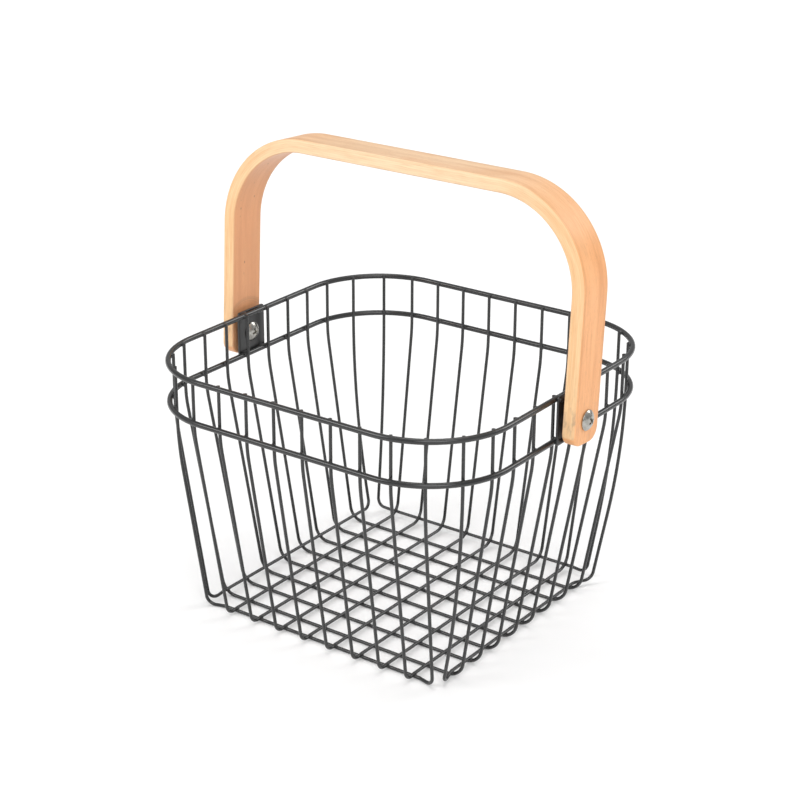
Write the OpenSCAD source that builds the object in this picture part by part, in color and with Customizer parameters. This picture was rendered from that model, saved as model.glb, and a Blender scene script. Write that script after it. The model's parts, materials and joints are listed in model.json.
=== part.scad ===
// Wire produce basket with a swinging bentwood handle.
// The origin is on the surface the basket stands on, under the middle of its rims.
// X runs along the handle's pivot axis, Y from front to back, Z up.

/* [Rims] */
// Length of each rim along X, between rod centres
rim_l = 250; // [240:1:270]
// Width of each rim along Y, between rod centres
rim_w = 248; // [240:1:270]
// Corner radius of the rims, at the rod centre
rim_corner_r = 58; // [52:0.5:62]
// Height of the top rim's rod centre
top_rim_z = 178.2; // [170:0.5:200]
// Drop from the top rim to the lower rim
rim_drop = 28.1; // [26:0.1:32]
// Diameter of the rim rod
rim_d = 3.7; // [3.4:0.1:4]

/* [Basket wires] */
// Diameter of the basket wires
wire_d = 2.2; // [2:0.1:2.4]
// Distance between wire ends along the rims
rim_pitch = 21.9; // [20:0.1:23]
// Shift of the wire ends along the front of the rims, towards the right
front_shift = 1.4; // [-3:0.1:3]
// The same along the back
back_shift = -1.4; // [-3:0.1:3]
// Shift of the wire ends along the two sides, towards the back
side_shift = -0.5; // [-3:0.1:3]
// Angle from a corner's diagonal to each of the two wires that end in it
corner_pair_angle = 11.7; // [9:0.5:14]
// How far the wires' cut ends reach above the top rim's rod centre
wire_end_rise = 1; // [0:0.1:1.8]
// Depth that two welded rods sink into each other
weld_bite = 0.2; // [0.1:0.05:0.3]

/* [Base grid] */
// Spacing of the eight middle front-to-back wires
pitch_x = 20.9; // [19:0.1:21.5]
// Spacing of the eight middle left-to-right wires
pitch_y = 20.6; // [19:0.1:21.5]
// Gap outside them to the outermost wire at the left
left_gap = 20.4; // [18:0.1:22]
// The same at the right
right_gap = 17.9; // [17:0.1:22]
// The same at the front
front_gap = 15.5; // [14:0.1:18]
// The same at the back
back_gap = 23.4; // [18:0.1:26]

/* [Walls] */
// Distance from the middle to the foot of the left wall
left_foot = 97; // [95:0.1:101]
// The same at the right
right_foot = 98; // [97:0.1:102]
// The same at the front
front_foot = 96.4; // [94:0.1:98]
// The same at the back
back_foot = 96; // [94:0.1:101]
// Bend radius at the foot of the walls
foot_r = 10.5; // [8:0.5:12]
// Tighter bend radius at the foot of the front wall, between its outermost wires
front_foot_r = 6.5; // [4:0.5:8]
// Height of the point where the front wall's line meets the dip in front of the base
front_dip_z = 1.1; // [-1:0.1:3]
// Wider bend radius at the foot of the right wall, between its outermost wires
right_foot_r = 12.5; // [8:0.5:22]
// Depth below the lower rim of the corner from which the walls lean inwards
lean_drop = 9; // [4:0.5:14]

/* [Corner wires] */
// Feet of the two outermost left-to-right wires, as distances from the middle:
// the front wire's left and right foot, then the back wire's
corner_foot_x = [95.7, 89.1, 91.1, 90.8]; // [86:0.1:97]
// How far those feet splay outwards along Y
corner_splay_x = [3.8, 2.9, 0.9, -2]; // [-4:0.1:8]
// Depth below the lower rim from which those wires lean inwards
corner_lean_x = [24, 21.5, 65, 58]; // [10:0.5:70]
// Feet of the two outermost front-to-back wires: the left wire's front and back foot,
// then the right wire's
corner_foot_y = [88.9, 88, 84.8, 88.5]; // [82:0.1:94]
// How far those feet splay outwards along X
corner_splay_y = [2.6, -0.8, 2.3, 7.2]; // [-4:0.1:8]
// Depth below the lower rim from which those wires lean inwards
corner_lean_y = [14.5, 70, 70, 49]; // [10:0.5:70]
// Height to which the front feet of those front-to-back wires droop, at the wire's centre
droop_z = 1.3; // [1.1:0.1:3]
// Bend radius at the feet of the outermost wires
corner_foot_r = 6.5; // [4:0.5:8]

/* [Brackets] */
// Width of the bracket plate
plate_w = 26.8; // [24:0.2:30]
// Thickness of the bracket plate
plate_t = 1.5; // [1:0.1:2]
// How far the plate reaches past the rod centres of both rims
plate_reach = 2.4; // [1:0.1:4]
// Corner radius of the plate
plate_corner_r = 2; // [1:0.5:4]

/* [Handle] */
// Thickness of the bent wooden strip
strip_t = 9; // [7:0.1:10]
// Width of the bent wooden strip
strip_w = 28.5; // [24:0.5:30]
// Radius of the strip's two bends, at mid thickness
strip_bend_r = 60.3; // [50:0.1:64]
// Height of the handle's top face above the table, with the handle upright
handle_top_z = 307.2; // [295:0.1:325]
// Angle at which the handle rests, its grip tilted from upright towards the back
handle_lean = 3.4; // [0:0.1:8]
// Length of the strip below the pivot
strip_tail = 15.7; // [14:0.1:18]
// Corner radius of the strip's ends
strip_end_r = 9; // [5:0.5:12]
// Offset of the pivots from the middle of the rims, along Y
pivot_y = -1.7; // [-5:0.1:5]

/* [Pivots] */
// Diameter of the pivot screws' heads
head_d = 13.5; // [12:0.5:15]
// Height of the domed heads
head_h = 3.4; // [2.4:0.1:3.4]
// Height of the straight edge under the dome
head_edge = 0.6; // [0.4:0.1:1]
// Outer diameter of the pivot barrel
barrel_d = 6; // [5:0.5:7]
// Diameter of the screw's shank
shank_d = 4; // [3:0.5:4]
// Thickness of the spacer washer between bracket and handle
spacer_t = 3.2; // [1:0.1:4]
// Diameter of the spacer washer
spacer_d = 13; // [11:0.5:16]
// Gap each side of the handle's legs
side_gap = 0.3; // [0.2:0.05:0.4]
// Radial clearance of the handle's bore on the barrel
run_fit = 0.05; // [0.02:0.01:0.08]

/* [Hidden] */
$fn = 48;
// Number of wires each way
WIRES = 10;
// Angle of the walls to the base
WALL_ANGLE = 81;
// Start of the front dips past the first left-to-right wire, and the bend that starts them
DIP_START = 0.6;
DIP_BEND_R = 4;
// Length over which an outermost wire splays before its foot, and the bend that starts it
SPLAY_LENGTH = 12;
SPLAY_BEND_R = 10;
// A rod's bends are this much fatter than its straight legs, which sink this far into them
BEND_SWELL = 0.02;
LEG_OVERLAP = 0.3;
// Cross recess of the screws
RECESS_L = 6.4;
RECESS_W = 1.2;
RECESS_DEPTH = 1.6;
// Solid end of the pivot barrel, and the gap between it and the screw's tip
BARREL_WEB = 1.5;
TIP_GAP = 1;
// Radial gap of holes around parts that don't turn in them
HOLE_GAP = 0.1;
// Reach of a cutter or an overlap past a face
REACH = 1;

rim_r = rim_d / 2;
wire_r = wire_d / 2;
low_rim_z = top_rim_z - rim_drop;

// The wires stand inside the rims, so their ends follow a smaller rounded rectangle.
inset = rim_r + wire_r - weld_bite;
ends_x = rim_l / 2 - inset;
ends_y = rim_w / 2 - inset;
ends_r = rim_corner_r - inset;

// Front-to-back wires rest on the left-to-right ones.
stack_step = wire_d - weld_bite;
low_wire_z = wire_r;
high_wire_z = wire_r + stack_step;

// Handle and pivots, outwards along X.
pivot_z = (top_rim_z + low_rim_z) / 2;
plate_x = rim_l / 2 + rim_r - weld_bite;
spacer_x = plate_x + plate_t;
leg_x = spacer_x + spacer_t + side_gap;
head_x = leg_x + strip_t + side_gap;
strip_bend_x = leg_x + strip_t / 2 - strip_bend_r;
grip_rise = handle_top_z - strip_t - pivot_z;
strip_bend_rise = grip_rise + strip_t / 2 - strip_bend_r;
dome_r = (pow(head_d / 2, 2) + pow(head_h - head_edge, 2)) / (2 * (head_h - head_edge));
barrel_l = head_x - plate_x;

left_right_names = [for (k = [1 : WIRES]) str("left_right_wire_", k)];
front_back_names = [for (k = [1 : WIRES]) str("front_back_wire_", k)];

// ---- Where the wires run ----

// Wire k of ten, counted from the middle
function steps(k) = k - (WIRES + 1) / 2;

// Place of wire k across the base: eight on an even pitch, and one outside each end
function line_at(k, pitch, low_gap, high_gap) =
    k == 1 ? pitch * steps(2) - low_gap
    : k == WIRES ? pitch * steps(WIRES - 1) + high_gap
    : pitch * steps(k);

// Lift of an outermost wire that lies past the start of the other wires' foot bends,
// at distance r from the centre of those bends
function nest_lift(line, foot, bend_r, r) =
    let (past = line - (foot - bend_r * tan(WALL_ANGLE / 2)))
    past <= 0 ? 0 : r * (1 - cos(asin(past / r)));

// Point at distance s along a side from its middle, on a rounded rectangle that is
// half_along by half_out: [along the side, outwards]
function side_point(s, half_along, half_out) =
    let (straight = half_along - ends_r, turned = (abs(s) - straight) / ends_r * 180 / PI)
    turned <= 0 ? [s, half_out]
    : [sign(s) * (straight + ends_r * sin(turned)), half_out - ends_r * (1 - cos(turned))];

// Corner point for the end of an outermost wire
function corner_point(side, half_along, half_out) =
    let (a = 45 - corner_pair_angle)
    [side * (half_along - ends_r + ends_r * cos(a)), half_out - ends_r + ends_r * sin(a)];

// Where wire k ends on the rims: [along the side, outwards]
function end_point(k, shift, half_along, half_out) =
    k == 1 ? corner_point(-1, half_along, half_out)
    : k == WIRES ? corner_point(1, half_along, half_out)
    : side_point(steps(k) * rim_pitch + shift, half_along, half_out);

function unit(v) = v / norm(v);
function turn(u, v) = atan2(norm(cross(u, v)), u * v);
function reversed(list) = [for (i = [len(list) - 1 : -1 : 0]) list[i]];

// Half of a route: the cut end, the long bend that starts under the lower rim, the foot and
// what follows on the base. Each station is [[along, outwards, up], bend radius].
function half_route(tip, lean, foot, bend_r, on_base) =
    let (top = [tip[0], tip[1], top_rim_z + wire_end_rise],
         knee = [tip[0], tip[1], low_rim_z - lean],
         angle = turn(knee - top, foot - knee))
    concat([[top, 0], [knee, (lean - rim_r) / tan(angle / 2)], [foot, bend_r]], on_base);

// Half of a wire that runs straight across the base
function plain_half(k, line, z, shift, foot, bend_r, half_along, half_out) =
    half_route(end_point(k, shift, half_along, half_out), lean_drop, [line, foot, z], bend_r, []);

// Front half of a front-to-back wire, which dips just past the first left-to-right wire
function dipped_half(k, line, z, shift, half_along, half_out) =
    let (first = -line_at(1, pitch_y, front_gap, back_gap))
    half_route(end_point(k, shift, half_along, half_out), lean_drop,
        [line, front_foot, front_dip_z], front_foot_r,
        [[[line, first + DIP_START, z], DIP_BEND_R]]);

// Half of an outermost wire, which leaves its line shortly before its foot
function corner_half(k, line, z, foot_z, foot, splay, lean, half_along, half_out) =
    half_route(end_point(k, 0, half_along, half_out), lean,
        [line + sign(steps(k)) * splay, foot, foot_z], corner_foot_r,
        [[[line, foot - SPLAY_LENGTH, z], SPLAY_BEND_R]]);

function is_outer(k) = k == 1 || k == WIRES;

function left_right_route(k) =
    let (line = line_at(k, pitch_y, front_gap, back_gap),
         z = low_wire_z + nest_lift(line, back_foot, foot_r, foot_r + stack_step),
         i = k == 1 ? 0 : 2,
         feet = [left_foot, right_foot],
         radii = [foot_r, right_foot_r],
         halves = [for (end = [0, 1])
             is_outer(k)
             ? corner_half(k, line, z, z, corner_foot_x[i + end], corner_splay_x[i + end],
                 corner_lean_x[i + end], ends_y, ends_x)
             : plain_half(k, line, z, side_shift, feet[end], radii[end], ends_y, ends_x)])
    concat([for (s = halves[0]) [[-s[0][1], s[0][0], s[0][2]], s[1]]],
        [for (s = reversed(halves[1])) [[s[0][1], s[0][0], s[0][2]], s[1]]]);

function front_back_route(k) =
    let (line = line_at(k, pitch_x, left_gap, right_gap),
         z = high_wire_z
             + nest_lift(-line, left_foot, foot_r, foot_r - stack_step)
             + nest_lift(line, right_foot, right_foot_r, right_foot_r - stack_step),
         i = k == 1 ? 0 : 2,
         foot_z = [droop_z, z],
         halves = [for (end = [0, 1])
             is_outer(k)
             ? corner_half(k, line, z, foot_z[end], corner_foot_y[i + end],
                 corner_splay_y[i + end], corner_lean_y[i + end], ends_x, ends_y)
             : end == 0 ? dipped_half(k, line, z, front_shift, ends_x, ends_y)
             : plain_half(k, line, z, back_shift, back_foot, foot_r, ends_x, ends_y)])
    concat([for (s = halves[0]) [[s[0][0], -s[0][1], s[0][2]], s[1]]],
        reversed(halves[1]));

// ---- A round rod bent along a route ----

// Bend that leaves the origin along +Z and turns towards +X. It is a trace thicker than
// the rod, so that the ends of the straight legs sit inside it.
module rod_bend(bend_r, angle, r)
    translate([bend_r, 0, 0])
        rotate([-90, 0, 0])
            rotate([0, 0, 180])
                rotate_extrude(angle = angle)
                    translate([bend_r, 0]) circle(r = r + BEND_SWELL);

// The rod from its leg i onwards, each leg drawn in the frame that the last bend left
module rod_from(i, runs, bends, angles, rolls, r) {
    sunk_start = i > 0 ? LEG_OVERLAP : 0;
    sunk_end = i < len(angles) ? LEG_OVERLAP : 0;
    translate([0, 0, -sunk_start]) cylinder(h = runs[i] + sunk_start + sunk_end, r = r);
    if (i < len(angles))
        translate([0, 0, runs[i]])
            rotate([0, 0, rolls[i]]) {
                rod_bend(bends[i], angles[i], r);
                translate([bends[i], 0, 0])
                    rotate([0, angles[i], 0])
                        translate([-bends[i], 0, 0])
                            rod_from(i + 1, runs, bends, angles, rolls, r);
            }
}

module bent_rod(route, r) {
    last = len(route) - 2;
    corners = [for (s = route) s[0]];
    bends = [for (i = [1 : last]) route[i][1]];
    legs = [for (i = [0 : last]) unit(corners[i + 1] - corners[i])];
    angles = [for (i = [1 : last]) turn(legs[i - 1], legs[i])];
    hinges = [for (i = [1 : last]) unit(cross(legs[i - 1], legs[i]))];
    trims = concat([0], [for (i = [0 : last - 1]) bends[i] * tan(angles[i] / 2)], [0]);
    runs = [for (i = [0 : last]) norm(corners[i + 1] - corners[i]) - trims[i] - trims[i + 1]];
    rolls = concat([0], [for (i = [1 : last - 1])
        atan2(cross(hinges[i - 1], hinges[i]) * legs[i], hinges[i - 1] * hinges[i])]);
    z = legs[0];
    y = hinges[0];
    x = cross(y, z);
    o = corners[0];
    multmatrix([[x[0], y[0], z[0], o[0]], [x[1], y[1], z[1], o[1]], [x[2], y[2], z[2], o[2]]])
        rod_from(0, runs, bends, angles, rolls, r);
}

// ---- Wire parts ----

// One closed rounded-square ring of round rod
module rim(z) {
    straight_x = rim_l / 2 - rim_corner_r;
    straight_y = rim_w / 2 - rim_corner_r;
    color("dimgray") translate([0, 0, z])
        for (side = [-1, 1]) {
            translate([-straight_x, side * rim_w / 2, 0])
                rotate([0, 90, 0]) cylinder(h = 2 * straight_x, r = rim_r);
            translate([side * rim_l / 2, straight_y, 0])
                rotate([90, 0, 0]) cylinder(h = 2 * straight_y, r = rim_r);
            for (end = [-1, 1])
                translate([side * straight_x, end * straight_y, 0])
                    rotate([0, 0, side > 0 ? (end > 0 ? 0 : -90) : (end > 0 ? 90 : 180)])
                        rotate_extrude(angle = 90)
                            translate([rim_corner_r, 0]) circle(r = rim_r);
        }
}

module left_right_wire(k)
    color("dimgray") bent_rod(left_right_route(k), wire_r);

module front_back_wire(k)
    color("dimgray") bent_rod(front_back_route(k), wire_r);

// ---- Brackets, handle and pivots ----

// Puts a pivot part, drawn outwards along +X from the origin, on one side of the basket
module on_side(side, x)
    mirror([side < 0 ? 1 : 0, 0, 0])
        translate([x, pivot_y, pivot_z])
            children();

// Turns a flat outline into a plate that faces along +X
module upright_plate(t)
    rotate([90, 0, 90]) linear_extrude(height = t) children();

module rounded_outline(w, low, high, r) {
    translate([-w / 2 + r, low]) square([w - 2 * r, high - low]);
    translate([-w / 2, low + r]) square([w, high - low - 2 * r]);
    for (x = [-w / 2 + r, w / 2 - r], y = [low + r, high - r])
        translate([x, y]) circle(r = r);
}

// Flat plate welded to the outside of both rims
module bracket(side) {
    half_h = rim_drop / 2 + plate_reach;
    color([0.12, 0.12, 0.13]) on_side(side, plate_x)
        difference() {
            upright_plate(plate_t) rounded_outline(plate_w, -half_h, half_h, plate_corner_r);
            translate([-REACH, 0, 0])
                rotate([0, 90, 0])
                    cylinder(h = plate_t + 2 * REACH, d = barrel_d + 2 * HOLE_GAP);
        }
}

// Bent strip: two legs with rounded ends, two bends and a straight grip
module handle() {
    bore_d = barrel_d + 2 * run_fit;
    end_x = strip_w / 2 - strip_end_r;
    color("burlywood")
        translate([0, pivot_y, pivot_z])
            rotate([-handle_lean, 0, 0])
                difference() {
                    union() {
                        for (flip = [0, 1])
                            mirror([flip, 0, 0]) {
                                translate([leg_x, 0, 0])
                                    upright_plate(strip_t) {
                                        translate([-strip_w / 2, strip_end_r - strip_tail])
                                            square([strip_w, strip_bend_rise + strip_tail - strip_end_r]);
                                        translate([-end_x, -strip_tail])
                                            square([2 * end_x, strip_end_r + REACH]);
                                        for (x = [-end_x, end_x])
                                            translate([x, strip_end_r - strip_tail])
                                                circle(r = strip_end_r);
                                    }
                                translate([strip_bend_x, 0, strip_bend_rise])
                                    rotate([90, 0, 0])
                                        rotate_extrude(angle = 90)
                                            translate([strip_bend_r - strip_t / 2, -strip_w / 2])
                                                square([strip_t, strip_w]);
                            }
                        translate([-strip_bend_x, -strip_w / 2, grip_rise])
                            cube([2 * strip_bend_x, strip_w, strip_t]);
                    }
                    for (flip = [0, 1])
                        mirror([flip, 0, 0])
                            translate([leg_x - REACH, 0, 0])
                                rotate([0, 90, 0]) cylinder(h = strip_t + 2 * REACH, d = bore_d);
                }
}

// Plain washer that keeps the leg clear of the bracket
module spacer_washer(side)
    color("silver") on_side(side, spacer_x)
        rotate([0, 90, 0])
            difference() {
                cylinder(h = spacer_t, d = spacer_d);
                translate([0, 0, -REACH])
                    cylinder(h = spacer_t + 2 * REACH, d = barrel_d + 2 * HOLE_GAP);
            }

// Domed head on the XY plane, rising along +Z, with a cross recess
module domed_head(recess_turn)
    difference() {
        rotate_extrude()
            intersection() {
                translate([0, head_h - dome_r]) circle(r = dome_r, $fn = 120);
                square([head_d / 2, head_h]);
            }
        for (a = [0, 90])
            rotate([0, 0, a + recess_turn])
                translate([-RECESS_L / 2, -RECESS_W / 2, head_h - RECESS_DEPTH])
                    cube([RECESS_L, RECESS_W, RECESS_DEPTH + REACH]);
    }

// Tubular nut: head inside the bracket, tube out through bracket, washer and leg
module pivot_barrel(side)
    color("silver") on_side(side, plate_x) {
        rotate([0, -90, 0]) domed_head(15);
        rotate([0, 90, 0])
            difference() {
                cylinder(h = barrel_l, d = barrel_d);
                translate([0, 0, BARREL_WEB])
                    cylinder(h = barrel_l, d = shank_d + 2 * HOLE_GAP);
            }
    }

// Screw: head outside the leg, shank inside the barrel
module pivot_screw(side)
    color("silver") on_side(side, head_x)
        rotate([0, 90, 0]) {
            domed_head(30);
            translate([0, 0, BARREL_WEB + TIP_GAP - barrel_l])
                cylinder(h = barrel_l - BARREL_WEB - TIP_GAP, d = shank_d);
        }

rim(top_rim_z);  // top_rim
rim(low_rim_z);  // lower_rim
for (k = [1 : WIRES])
    left_right_wire(k);
for (k = [1 : WIRES])
    front_back_wire(k);
bracket(-1);  // left_bracket
bracket(1);  // right_bracket
handle();
spacer_washer(-1);  // left_spacer_washer
spacer_washer(1);  // right_spacer_washer
pivot_barrel(-1);  // left_pivot_barrel
pivot_barrel(1);  // right_pivot_barrel
pivot_screw(-1);  // left_pivot_screw
pivot_screw(1);  // right_pivot_screw
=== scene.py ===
"""Wire produce basket with a bentwood handle: its looks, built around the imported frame.

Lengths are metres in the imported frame: +X runs along the handle's pivot axis, +Y to the
back and +Z up. Sizes of the design repeat the values in part.scad.
"""

import json
import math

import bmesh
import bpy
import numpy as np
from mathutils import Matrix, Vector
from mathutils.geometry import tessellate_polygon
from mathutils.kdtree import KDTree


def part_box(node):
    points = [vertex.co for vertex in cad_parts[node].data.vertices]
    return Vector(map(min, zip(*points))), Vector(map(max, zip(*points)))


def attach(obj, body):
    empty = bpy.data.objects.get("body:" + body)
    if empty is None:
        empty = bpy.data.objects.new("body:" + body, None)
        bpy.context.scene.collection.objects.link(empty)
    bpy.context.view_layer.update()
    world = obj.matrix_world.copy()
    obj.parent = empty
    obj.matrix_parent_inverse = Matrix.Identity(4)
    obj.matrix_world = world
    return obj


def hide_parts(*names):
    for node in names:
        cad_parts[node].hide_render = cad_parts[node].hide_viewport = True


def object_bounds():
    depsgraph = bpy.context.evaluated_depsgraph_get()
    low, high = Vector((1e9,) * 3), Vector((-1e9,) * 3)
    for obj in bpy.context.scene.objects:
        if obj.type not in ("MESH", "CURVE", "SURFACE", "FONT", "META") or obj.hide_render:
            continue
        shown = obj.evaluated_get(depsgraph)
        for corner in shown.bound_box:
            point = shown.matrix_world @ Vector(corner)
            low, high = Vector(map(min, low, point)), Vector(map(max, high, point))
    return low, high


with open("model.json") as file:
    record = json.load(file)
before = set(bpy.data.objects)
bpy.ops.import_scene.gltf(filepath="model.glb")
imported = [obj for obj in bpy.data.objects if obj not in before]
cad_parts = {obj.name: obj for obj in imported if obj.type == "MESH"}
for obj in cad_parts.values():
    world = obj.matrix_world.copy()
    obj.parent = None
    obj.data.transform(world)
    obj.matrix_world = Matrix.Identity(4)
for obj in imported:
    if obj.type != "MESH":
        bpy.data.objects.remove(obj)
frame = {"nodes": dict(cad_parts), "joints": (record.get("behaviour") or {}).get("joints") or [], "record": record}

cad_box = [list(corner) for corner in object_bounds()]
MM = 0.001

# ---- Sizes repeated from part.scad ----
RIM_CORNER_R = 58 * MM
RIM_DROP = 28.1 * MM
WIRE_R = 1.1 * MM
WELD_BITE = 0.2 * MM
WIRES = 10
RIM_PITCH = 21.9 * MM
END_SHIFT = {"x": (-0.5 * MM, -0.5 * MM), "y": (1.4 * MM, -1.4 * MM)}
CORNER_PAIR_ANGLE = math.radians(11.7)
PITCH = {"x": 20.9 * MM, "y": 20.6 * MM}
GAPS = {"x": (20.4 * MM, 17.9 * MM), "y": (15.5 * MM, 23.4 * MM)}
FEET = {"x": (97 * MM, 98 * MM), "y": (96.4 * MM, 96 * MM)}
FOOT_R = 10.5 * MM
RIGHT_FOOT_R = 12.5 * MM
LEAN_DROP = 9 * MM
CORNER_FOOT = {"x": (95.7, 89.1, 91.1, 90.8), "y": (88.9, 88, 84.8, 88.5)}
CORNER_SPLAY = {"x": (3.8, 2.9, 0.9, -2), "y": (2.6, -0.8, 2.3, 7.2)}
CORNER_LEAN = {"x": (24, 21.5, 65, 58), "y": (14.5, 70, 70, 49)}
DROOP_Z = 1.3 * MM
FRONT_FOOT_R = 6.5 * MM
FRONT_DIP_Z = 1.1 * MM
DIP_START = 0.6 * MM
DIP_BEND_R = 4 * MM
CORNER_FOOT_R = 6.5 * MM
SPLAY_LENGTH = 12 * MM
SPLAY_BEND_R = 10 * MM
WALL_ANGLE = math.radians(81)
PLATE_CORNER_R = 2 * MM
STRIP_T = 9 * MM
STRIP_W = 28.5 * MM
STRIP_BEND_R = 60.3 * MM
STRIP_TAIL = 15.7 * MM
STRIP_END_R = 9 * MM
GRIP_RISE = 134.05 * MM
HANDLE_LEAN = math.radians(3.4)
HEAD_R = 6.75 * MM
HEAD_H = 3.4 * MM
HEAD_EDGE = 0.6 * MM
BARREL_R = 3 * MM
SHANK_R = 2 * MM
HOLE_GAP = 0.1 * MM
RUN_FIT = 0.05 * MM
BARREL_WEB = 1.5 * MM
TIP_GAP = 1 * MM

PIVOT = Vector(frame["joints"][0]["pos_m"])


# ---- Camera ----

VIEW_DEGREES = (36.004, 22.242, 0.138)  # azimuth, elevation and roll
CAMERA_PLACE = (0.6865, -0.9572, 0.6238)
CAMERA_LENS = 86.98  # mm, on a sensor of this width
CAMERA_SENSOR = 36
CAMERA_SHIFT = (0.0109, 0.0013)


def toward(azimuth, elevation):
    """Unit vector from the object towards a viewer or a light."""
    return Vector(
        (
            math.sin(azimuth) * math.cos(elevation),
            -math.cos(azimuth) * math.cos(elevation),
            math.sin(elevation),
        )
    )


def make_camera():
    """The photograph's viewpoint: azimuth and elevation of the view, and a slight roll."""
    azimuth, elevation, roll = map(math.radians, VIEW_DEGREES)
    back = toward(azimuth, elevation)
    right = Vector((math.cos(azimuth), math.sin(azimuth), 0))
    up = back.cross(right)
    right, up = (
        right * math.cos(roll) + up * math.sin(roll),
        up * math.cos(roll) - right * math.sin(roll),
    )
    data = bpy.data.cameras.new("camera")
    data.sensor_width = CAMERA_SENSOR
    data.lens = CAMERA_LENS
    data.shift_x, data.shift_y = CAMERA_SHIFT
    data.clip_end = 100
    camera = bpy.data.objects.new("camera", data)
    turned = Matrix((right, up, back)).transposed().to_4x4()
    camera.matrix_world = Matrix.Translation(CAMERA_PLACE) @ turned
    bpy.context.scene.collection.objects.link(camera)
    bpy.context.scene.camera = camera


# ---- Node materials ----


class Recipe:
    """One node material around a Principled BSDF, with short calls for its nodes."""

    def __init__(self, name, **constants):
        self.material = bpy.data.materials.new(name)
        self.material.use_nodes = True
        self.tree = self.material.node_tree
        self.shader = self.tree.nodes["Principled BSDF"]
        for socket, value in constants.items():
            self.shader.inputs[socket.replace("_", " ")].default_value = value

    def add(self, kind, inputs=None, **settings):
        node = self.tree.nodes.new("ShaderNode" + kind)
        for key, value in settings.items():
            setattr(node, key, value)
        for key, value in (inputs or {}).items():
            self.feed(node.inputs[key], value)
        return node

    def feed(self, socket, value):
        if isinstance(value, bpy.types.NodeSocket):
            self.tree.links.new(value, socket)
        else:
            socket.default_value = value

    def math(self, operation, a, b=0.0, clamp=False):
        return self.add("Math", {0: a, 1: b}, operation=operation, use_clamp=clamp).outputs[0]

    def ramp(self, value, low, high):
        """0 where value is at or under low, 1 at or over high, smooth between."""
        node = self.add(
            "MapRange",
            {"Value": value, "From Min": low, "From Max": high},
            interpolation_type="SMOOTHSTEP",
        )
        return node.outputs["Result"]

    def noise(self, vector, scale, detail=2.0, rough=0.5):
        node = self.add(
            "TexNoise", {"Vector": vector, "Scale": scale, "Detail": detail, "Roughness": rough}
        )
        return node.outputs["Fac"]

    def stretch(self, vector, scale):
        """vector with each of its parts multiplied by its own scale."""
        node = self.add("VectorMath", {0: vector, 1: scale}, operation="MULTIPLY")
        return node.outputs[0]

    def mix(self, share, a, b):
        node = self.add("Mix", data_type="RGBA")
        self.feed(node.inputs["Factor"], share)
        self.feed(node.inputs[6], a)
        self.feed(node.inputs[7], b)
        return node.outputs[2]

    def bump(self, height, distance, strength=1.0, normal=None):
        inputs = {"Height": height, "Distance": distance, "Strength": strength}
        if normal is not None:
            inputs["Normal"] = normal
        return self.add("Bump", inputs).outputs[0]

    def place(self):
        return self.add("TexCoord").outputs["Object"]

    def use(self, **sockets):
        for socket, value in sockets.items():
            self.feed(self.shader.inputs[socket.replace("_", " ")], value)
        return self.material


def rgb(red, green, blue):
    return (red, green, blue, 1.0)


def powder_coat(name, dark, light, roughness):
    """Satin powder coat: fine orange peel, slow drift in tone and small rubbed spots."""
    r = Recipe(name, Specular_IOR_Level=0.65)
    place = r.place()
    drift = r.noise(place, 38, 3)
    grain = r.noise(place, 1500, 2)
    peel = r.noise(place, 620, 2)
    rubbed = r.ramp(r.noise(place, 210, 4, 0.65), 0.66, 0.78)
    tone = r.mix(r.ramp(drift, 0.3, 0.7), dark, light)
    tone = r.mix(r.math("MULTIPLY", rubbed, 0.35), tone, rgb(0.14, 0.145, 0.15))
    rough = r.math("ADD", r.math("MULTIPLY", drift, 0.16), roughness - 0.08)
    rough = r.math("SUBTRACT", rough, r.math("MULTIPLY", rubbed, 0.08))
    height = r.math("ADD", peel, r.math("MULTIPLY", grain, 0.3))
    return r.use(
        Base_Color=tone, Roughness=rough, Normal=r.bump(height, 0.00006, 0.25)
    )


# Where the strip's features lie, in metres along, across and through it. A pair is where a
# smooth step starts and ends.
GRIP_TO_LEG = (0.04, 0.16)
OUTER_FACE = (0.0042, 0.0044)
INNER_FACE = (-0.0044, -0.0036)
EDGE_FACE = (0.01335, 0.01405)
TRIM_BAND = ((0.01165, 0.01175), (0.01255, 0.01265))
TRIM_START, TRIM_HALF_STEP, TRIM_LINE = 0.0118, 0.0003, 0.00018
PLY_THICKNESS = 0.00129
RUB_RING = ((0.0195, 0.0205), (0.0235, 0.0245))
GRIME_BEFORE_PIVOT, GRIME_PAST_PIVOT = 0.035, 0.012


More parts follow.
